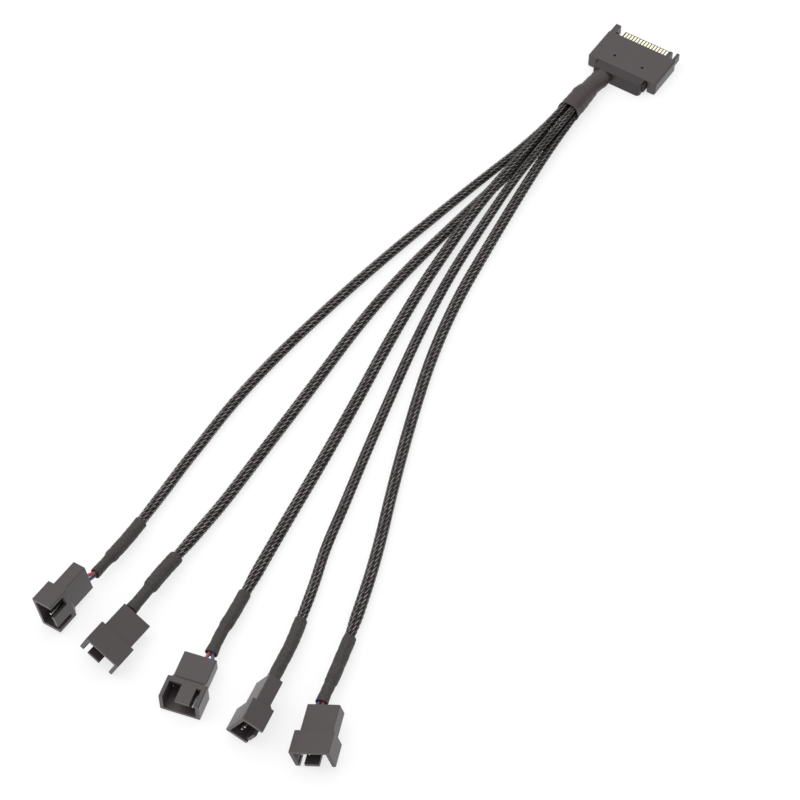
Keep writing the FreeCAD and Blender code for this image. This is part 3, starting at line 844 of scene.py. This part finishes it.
def bare_wire(n, colour, material):
    """Rings of one radius along a NURBS line from the sleeve's end, through the boot's mouth, to the pin."""
    ahead, (header_wide, out) = boot_direction(n), header_axes(n)
    apart = boot_flat(n) * (WIRE_HALF_GAP if colour == "blue" else -WIRE_HALF_GAP)
    leaves = np.array(BOOT_ENDS[n]) + apart
    entry = np.array(HEADER_PLACES[n]) + header_wide * PIN_PLACES[colour]
    route = np.array([sleeve_end(n) + apart, leaves - ahead * BEND_FROM, leaves, entry - out * ENTRY_RUN,
                      entry + out * CRIMP_DEPTH])
    line = swayed(n, nurbs_line(route, ROUTE_STEP))
    points = round_skin(line, WIRE_RADIUS, WIRE_SIDES)
    faces = grid_faces(len(line), WIRE_SIDES, True)
    piece = add_skin(f"lead_{n}_{colour}", points.reshape(-1, 3), faces, [material])
    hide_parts(f"lead_{n}_{colour}_wire")
    return piece


wires = {(n, colour): bare_wire(n, colour, material) for n in LEADS
         for colour, material in (("red", RED_WIRE), ("blue", BLUE_WIRE))}
print("bare wires:", len(wires))

# %% [markdown]
# The trunk shrink gathers the five sleeves: oval where it meets the plug, drawn in to a waist, then round over
# the sleeves. The sleeves press through it as shallow ridges, and its cut mouth flares a little. Its section is an
# oval whose centre and half sizes ease from one place along the trunk to the next, which needs only five places
# and no sculpting.

# %% Trunk shrink
TRUNK_Y = np.array([-12.45, -15.5, -21.5, -28.0, -37.8])
TRUNK_X = np.array([-5.5, -5.55, -5.8, -6.1, -6.1])
TRUNK_Z = np.array([3.0, 3.3, 4.1, 4.6, 4.6])
TRUNK_HALF_WIDE = np.array([3.9, 3.8, 3.4, 4.15, 4.25])
TRUNK_HALF_TALL = np.array([2.5, 2.8, 3.4, 4.2, 4.3])
TRUNK_SIDES, TRUNK_RINGS = 90, 110
TRUNK_WALL, TRUNK_LIP = 0.22, 6.0
RIDGE_HEIGHT, RIDGE_RUN = 0.12, 9.0
LONG_LUMP, LONG_RATE = 0.06, 0.8
SHORT_LUMP, SHORT_RATE = 0.05, 1.9
MOUTH_FLARE, MOUTH_RUN = 0.16, 1.6


def eased_along(y, values):
    """Values between the trunk's places, half mixed in proportion and half by an eased step."""
    place = np.clip(np.searchsorted(-TRUNK_Y, -y, side="right") - 1, 0, len(TRUNK_Y) - 2)
    part = (y - TRUNK_Y[place]) / (TRUNK_Y[place + 1] - TRUNK_Y[place])
    mixed = values[place] + (values[place + 1] - values[place]) * (0.5 * part + 0.5 * eased(part))
    return mixed[:, None]


def trunk_skin():
    """Oval rings: centre x plus half width times cosine, and centre z plus half height times sine.
    Ridges, lumps and the mouth's flare are added to both half sizes, and the last two rings turn inwards."""
    mouth = TRUNK_Y[-1]
    y = np.concatenate([np.linspace(TRUNK_Y[0], mouth, TRUNK_RINGS), [mouth, mouth + TRUNK_LIP]])
    inset = np.concatenate([np.zeros(TRUNK_RINGS), [TRUNK_WALL, TRUNK_WALL]])[:, None]
    angle = np.linspace(0, 2 * np.pi, TRUNK_SIDES, endpoint=False)
    s = y[:, None]
    loose = eased((TRUNK_Y[2] - s) / RIDGE_RUN)
    ridge = RIDGE_HEIGHT * loose * np.cos(len(LEADS) * (angle - math.radians(RING_ANGLES[3])))
    lump = (LONG_LUMP * np.sin(s * LONG_RATE + 2 * np.cos(angle))
            + SHORT_LUMP * np.sin(s * SHORT_RATE + 3 * np.sin(angle + 1)))
    flare = MOUTH_FLARE * eased((mouth + MOUTH_RUN - s) / MOUTH_RUN)
    swell = ridge + lump + flare - inset
    points = np.stack([eased_along(y, TRUNK_X) + (eased_along(y, TRUNK_HALF_WIDE) + swell) * np.cos(angle),
                       np.broadcast_to(s, swell.shape),
                       eased_along(y, TRUNK_Z) + (eased_along(y, TRUNK_HALF_TALL) + swell) * np.sin(angle)],
                      axis=-1)
    faces = grid_faces(len(y), TRUNK_SIDES, True)[:, ::-1]
    piece = add_skin("trunk_tube", points.reshape(-1, 3), faces, [TRUNK_SKIN])
    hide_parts("trunk_shrink")
    return piece


trunk = trunk_skin()
print("trunk faces:", len(trunk.data.polygons))
